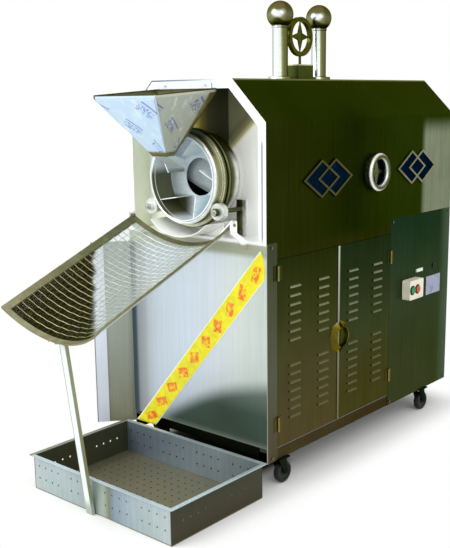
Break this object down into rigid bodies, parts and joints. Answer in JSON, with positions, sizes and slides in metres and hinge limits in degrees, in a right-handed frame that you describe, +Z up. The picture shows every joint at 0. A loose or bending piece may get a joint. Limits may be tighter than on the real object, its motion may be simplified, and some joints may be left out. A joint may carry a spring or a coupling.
{
  "type": "nut roasting machine",
  "caption": "Sheet-metal drum roaster for nuts on casters, with a feed hopper over the drum mouth, a sloping mesh chute on a leg, a perforated tray and louvred side doors.",
  "frame": {"origin": "bottom centre of the whole machine's box, on the floor", "axes": "+Z up, -Y towards the front with the drum mouth and chute, +X towards the side with the two doors"},
  "size_m": [0.7832, 1.8798, 1.6305],
  "materials": {
    "shell_steel": "brushed stainless, dark olive",
    "door_steel": "brushed stainless, olive brown",
    "control_steel": "brushed stainless, dark green grey",
    "front_steel": "brushed stainless, bright",
    "frame_steel": "mill finish",
    "drum_steel": "rolled and polished",
    "hopper_steel": "pale protective finish",
    "chute_steel": "satin",
    "tray_steel": "satin",
    "polished_steel": "polished",
    "brass": "polished",
    "cast_metal": "as cast",
    "motor_paint": "painted",
    "zinc_plate": "zinc plated",
    "black_rubber": "matte",
    "cream_plastic": "gloss",
    "green_plastic": "gloss",
    "red_plastic": "gloss",
    "grey_plate": "satin",
    "dark_insert": "gloss",
    "lamp_lens": "gloss"
  },
  "bodies": {
    "cabinet": {"base_sills": "frame_steel", "corner_posts": "frame_steel", "floor_sheet": "frame_steel", "lower_front_panel": "front_steel", "lower_left_panel": "door_steel", "lower_rear_panel": "door_steel", "right_front_stile": "door_steel", "control_panel": "control_steel", "upper_shell": "shell_steel", "upper_rear_panel": "shell_steel", "front_rim": "front_steel", "recessed_front_plate": "front_steel", "discharge_lip": "front_steel", "roller_brackets": "zinc_plate", "rear_bearing": "cast_metal", "rear_cross_members": "frame_steel", "gear_motor": "motor_paint", "drive_belt": "black_rubber", "tunnel_liner": "frame_steel", "gas_burner": "cast_metal", "burner_stand": "frame_steel", "fixed_hinge_leaves": "brass", "switch_box": "cream_plastic", "blank_plate": "grey_plate", "pilot_lamp": "lamp_lens", "cable_grommet": "black_rubber", "emblem_frames": "polished_steel", "emblem_inserts": "dark_insert", "crest_posts": "polished_steel", "vent_box": "door_steel", "ring_finial": "polished_steel", "caster_plates": "zinc_plate", "panel_screws": "zinc_plate"},
    "drum": {"drum_shell": "drum_steel", "drum_tyre": "polished_steel", "drum_vanes": "drum_steel", "drum_rear_shaft": "cast_metal"},
    "left_roller": {"left_roller": "polished_steel"},
    "right_roller": {"right_roller": "polished_steel"},
    "motor_pulley": {"motor_pulley": "cast_metal"},
    "front_door": {"front_door": "door_steel", "front_door_brass": "brass"},
    "rear_door": {"rear_door": "door_steel", "rear_door_brass": "brass"},
    "service_door": {"service_door": "door_steel"},
    "chute": {"chute_frame": "chute_steel", "chute_mesh": "chute_steel", "chute_leg": "chute_steel"},
    "hopper": {"hopper": "hopper_steel"},
    "tray": {"tray": "tray_steel"},
    "start_button": {"start_button": "green_plastic"},
    "stop_button": {"stop_button": "red_plastic"},
    "caster_fork_front_left": {"caster_fork_front_left": "zinc_plate"},
    "caster_wheel_front_left": {"caster_wheel_front_left": "black_rubber"},
    "caster_fork_front_right": {"caster_fork_front_right": "zinc_plate"},
    "caster_wheel_front_right": {"caster_wheel_front_right": "black_rubber"},
    "caster_fork_rear_left": {"caster_fork_rear_left": "zinc_plate"},
    "caster_wheel_rear_left": {"caster_wheel_rear_left": "black_rubber"},
    "caster_fork_rear_right": {"caster_fork_rear_right": "zinc_plate"},
    "caster_wheel_rear_right": {"caster_wheel_rear_right": "black_rubber"}
  },
  "joints": [
    {"name": "drum_spin", "type": "hinge", "parent": "cabinet", "child": "drum", "pos_m": [0.03858, -0.31706, 1.031], "axis": [0, 1, 0], "continuous": true},
    {"name": "left_roller_spin", "type": "hinge", "parent": "cabinet", "child": "left_roller", "pos_m": [-0.11142, -0.35106, 0.93096], "axis": [0, 1, 0], "continuous": true},
    {"name": "right_roller_spin", "type": "hinge", "parent": "cabinet", "child": "right_roller", "pos_m": [0.18858, -0.35106, 0.93096], "axis": [0, 1, 0], "continuous": true},
    {"name": "motor_spin", "type": "hinge", "parent": "cabinet", "child": "motor_pulley", "pos_m": [0.03858, 0.83294, 0.56], "axis": [0, 1, 0], "continuous": true},
    {"name": "front_door_hinge", "type": "hinge", "parent": "cabinet", "child": "front_door", "pos_m": [0.35558, -0.25931, 0.46], "axis": [0, 0, -1], "range_deg": [0, 110]},
    {"name": "rear_door_hinge", "type": "hinge", "parent": "cabinet", "child": "rear_door", "pos_m": [0.35558, 0.43719, 0.46], "axis": [0, 0, 1], "range_deg": [0, 110]},
    {"name": "service_door_hinge", "type": "hinge", "parent": "cabinet", "child": "service_door", "pos_m": [-0.27842, -0.28231, 0.44], "axis": [0, 0, 1], "range_deg": [-138, 0]},
    {"name": "chute_lift", "type": "hinge", "parent": "cabinet", "child": "chute", "pos_m": [0.03858, -0.38006, 0.898], "axis": [-1, 0, 0], "range_deg": [0, 30]},
    {"name": "hopper_pull", "type": "slide", "parent": "cabinet", "child": "hopper", "axis": [0, -1, 0], "range_m": [0, 0.3]},
    {"name": "tray_pull", "type": "slide", "parent": "cabinet", "child": "tray", "axis": [1, 0, 0], "range_m": [0, 0.5]},
    {"name": "start_press", "type": "slide", "parent": "cabinet", "child": "start_button", "axis": [-1, 0, 0], "range_m": [0, 0.004], "stiffness_N_per_m": 800},
    {"name": "stop_press", "type": "slide", "parent": "cabinet", "child": "stop_button", "axis": [-1, 0, 0], "range_m": [0, 0.004], "stiffness_N_per_m": 800},
    {"name": "caster_swivel_front_left", "type": "hinge", "parent": "cabinet", "child": "caster_fork_front_left", "pos_m": [-0.25242, -0.23106, 0.09], "axis": [0, 0, 1], "continuous": true},
    {"name": "caster_spin_front_left", "type": "hinge", "parent": "caster_fork_front_left", "child": "caster_wheel_front_left", "pos_m": [-0.25242, -0.20606, 0.0375], "axis": [1, 0, 0], "continuous": true},
    {"name": "caster_swivel_front_right", "type": "hinge", "parent": "cabinet", "child": "caster_fork_front_right", "pos_m": [0.32958, -0.23106, 0.09], "axis": [0, 0, 1], "continuous": true},
    {"name": "caster_spin_front_right", "type": "hinge", "parent": "caster_fork_front_right", "child": "caster_wheel_front_right", "pos_m": [0.32958, -0.20606, 0.0375], "axis": [1, 0, 0], "continuous": true},
    {"name": "caster_swivel_rear_left", "type": "hinge", "parent": "cabinet", "child": "caster_fork_rear_left", "pos_m": [-0.25242, 0.71594, 0.09], "axis": [0, 0, 1], "continuous": true},
    {"name": "caster_spin_rear_left", "type": "hinge", "parent": "caster_fork_rear_left", "child": "caster_wheel_rear_left", "pos_m": [-0.25242, 0.74094, 0.0375], "axis": [1, 0, 0], "continuous": true},
    {"name": "caster_swivel_rear_right", "type": "hinge", "parent": "cabinet", "child": "caster_fork_rear_right", "pos_m": [0.32958, 0.71594, 0.09], "axis": [0, 0, 1], "continuous": true},
    {"name": "caster_spin_rear_right", "type": "hinge", "parent": "caster_fork_rear_right", "child": "caster_wheel_rear_right", "pos_m": [0.32958, 0.74094, 0.0375], "axis": [1, 0, 0], "continuous": true}
  ],
  "couplings": [
    {"joint": "left_roller_spin", "follows": "drum_spin", "ratio": -5.4286},
    {"joint": "right_roller_spin", "follows": "drum_spin", "ratio": -5.4286},
    {"joint": "motor_spin", "follows": "drum_spin", "ratio": 2.6667}
  ]
}
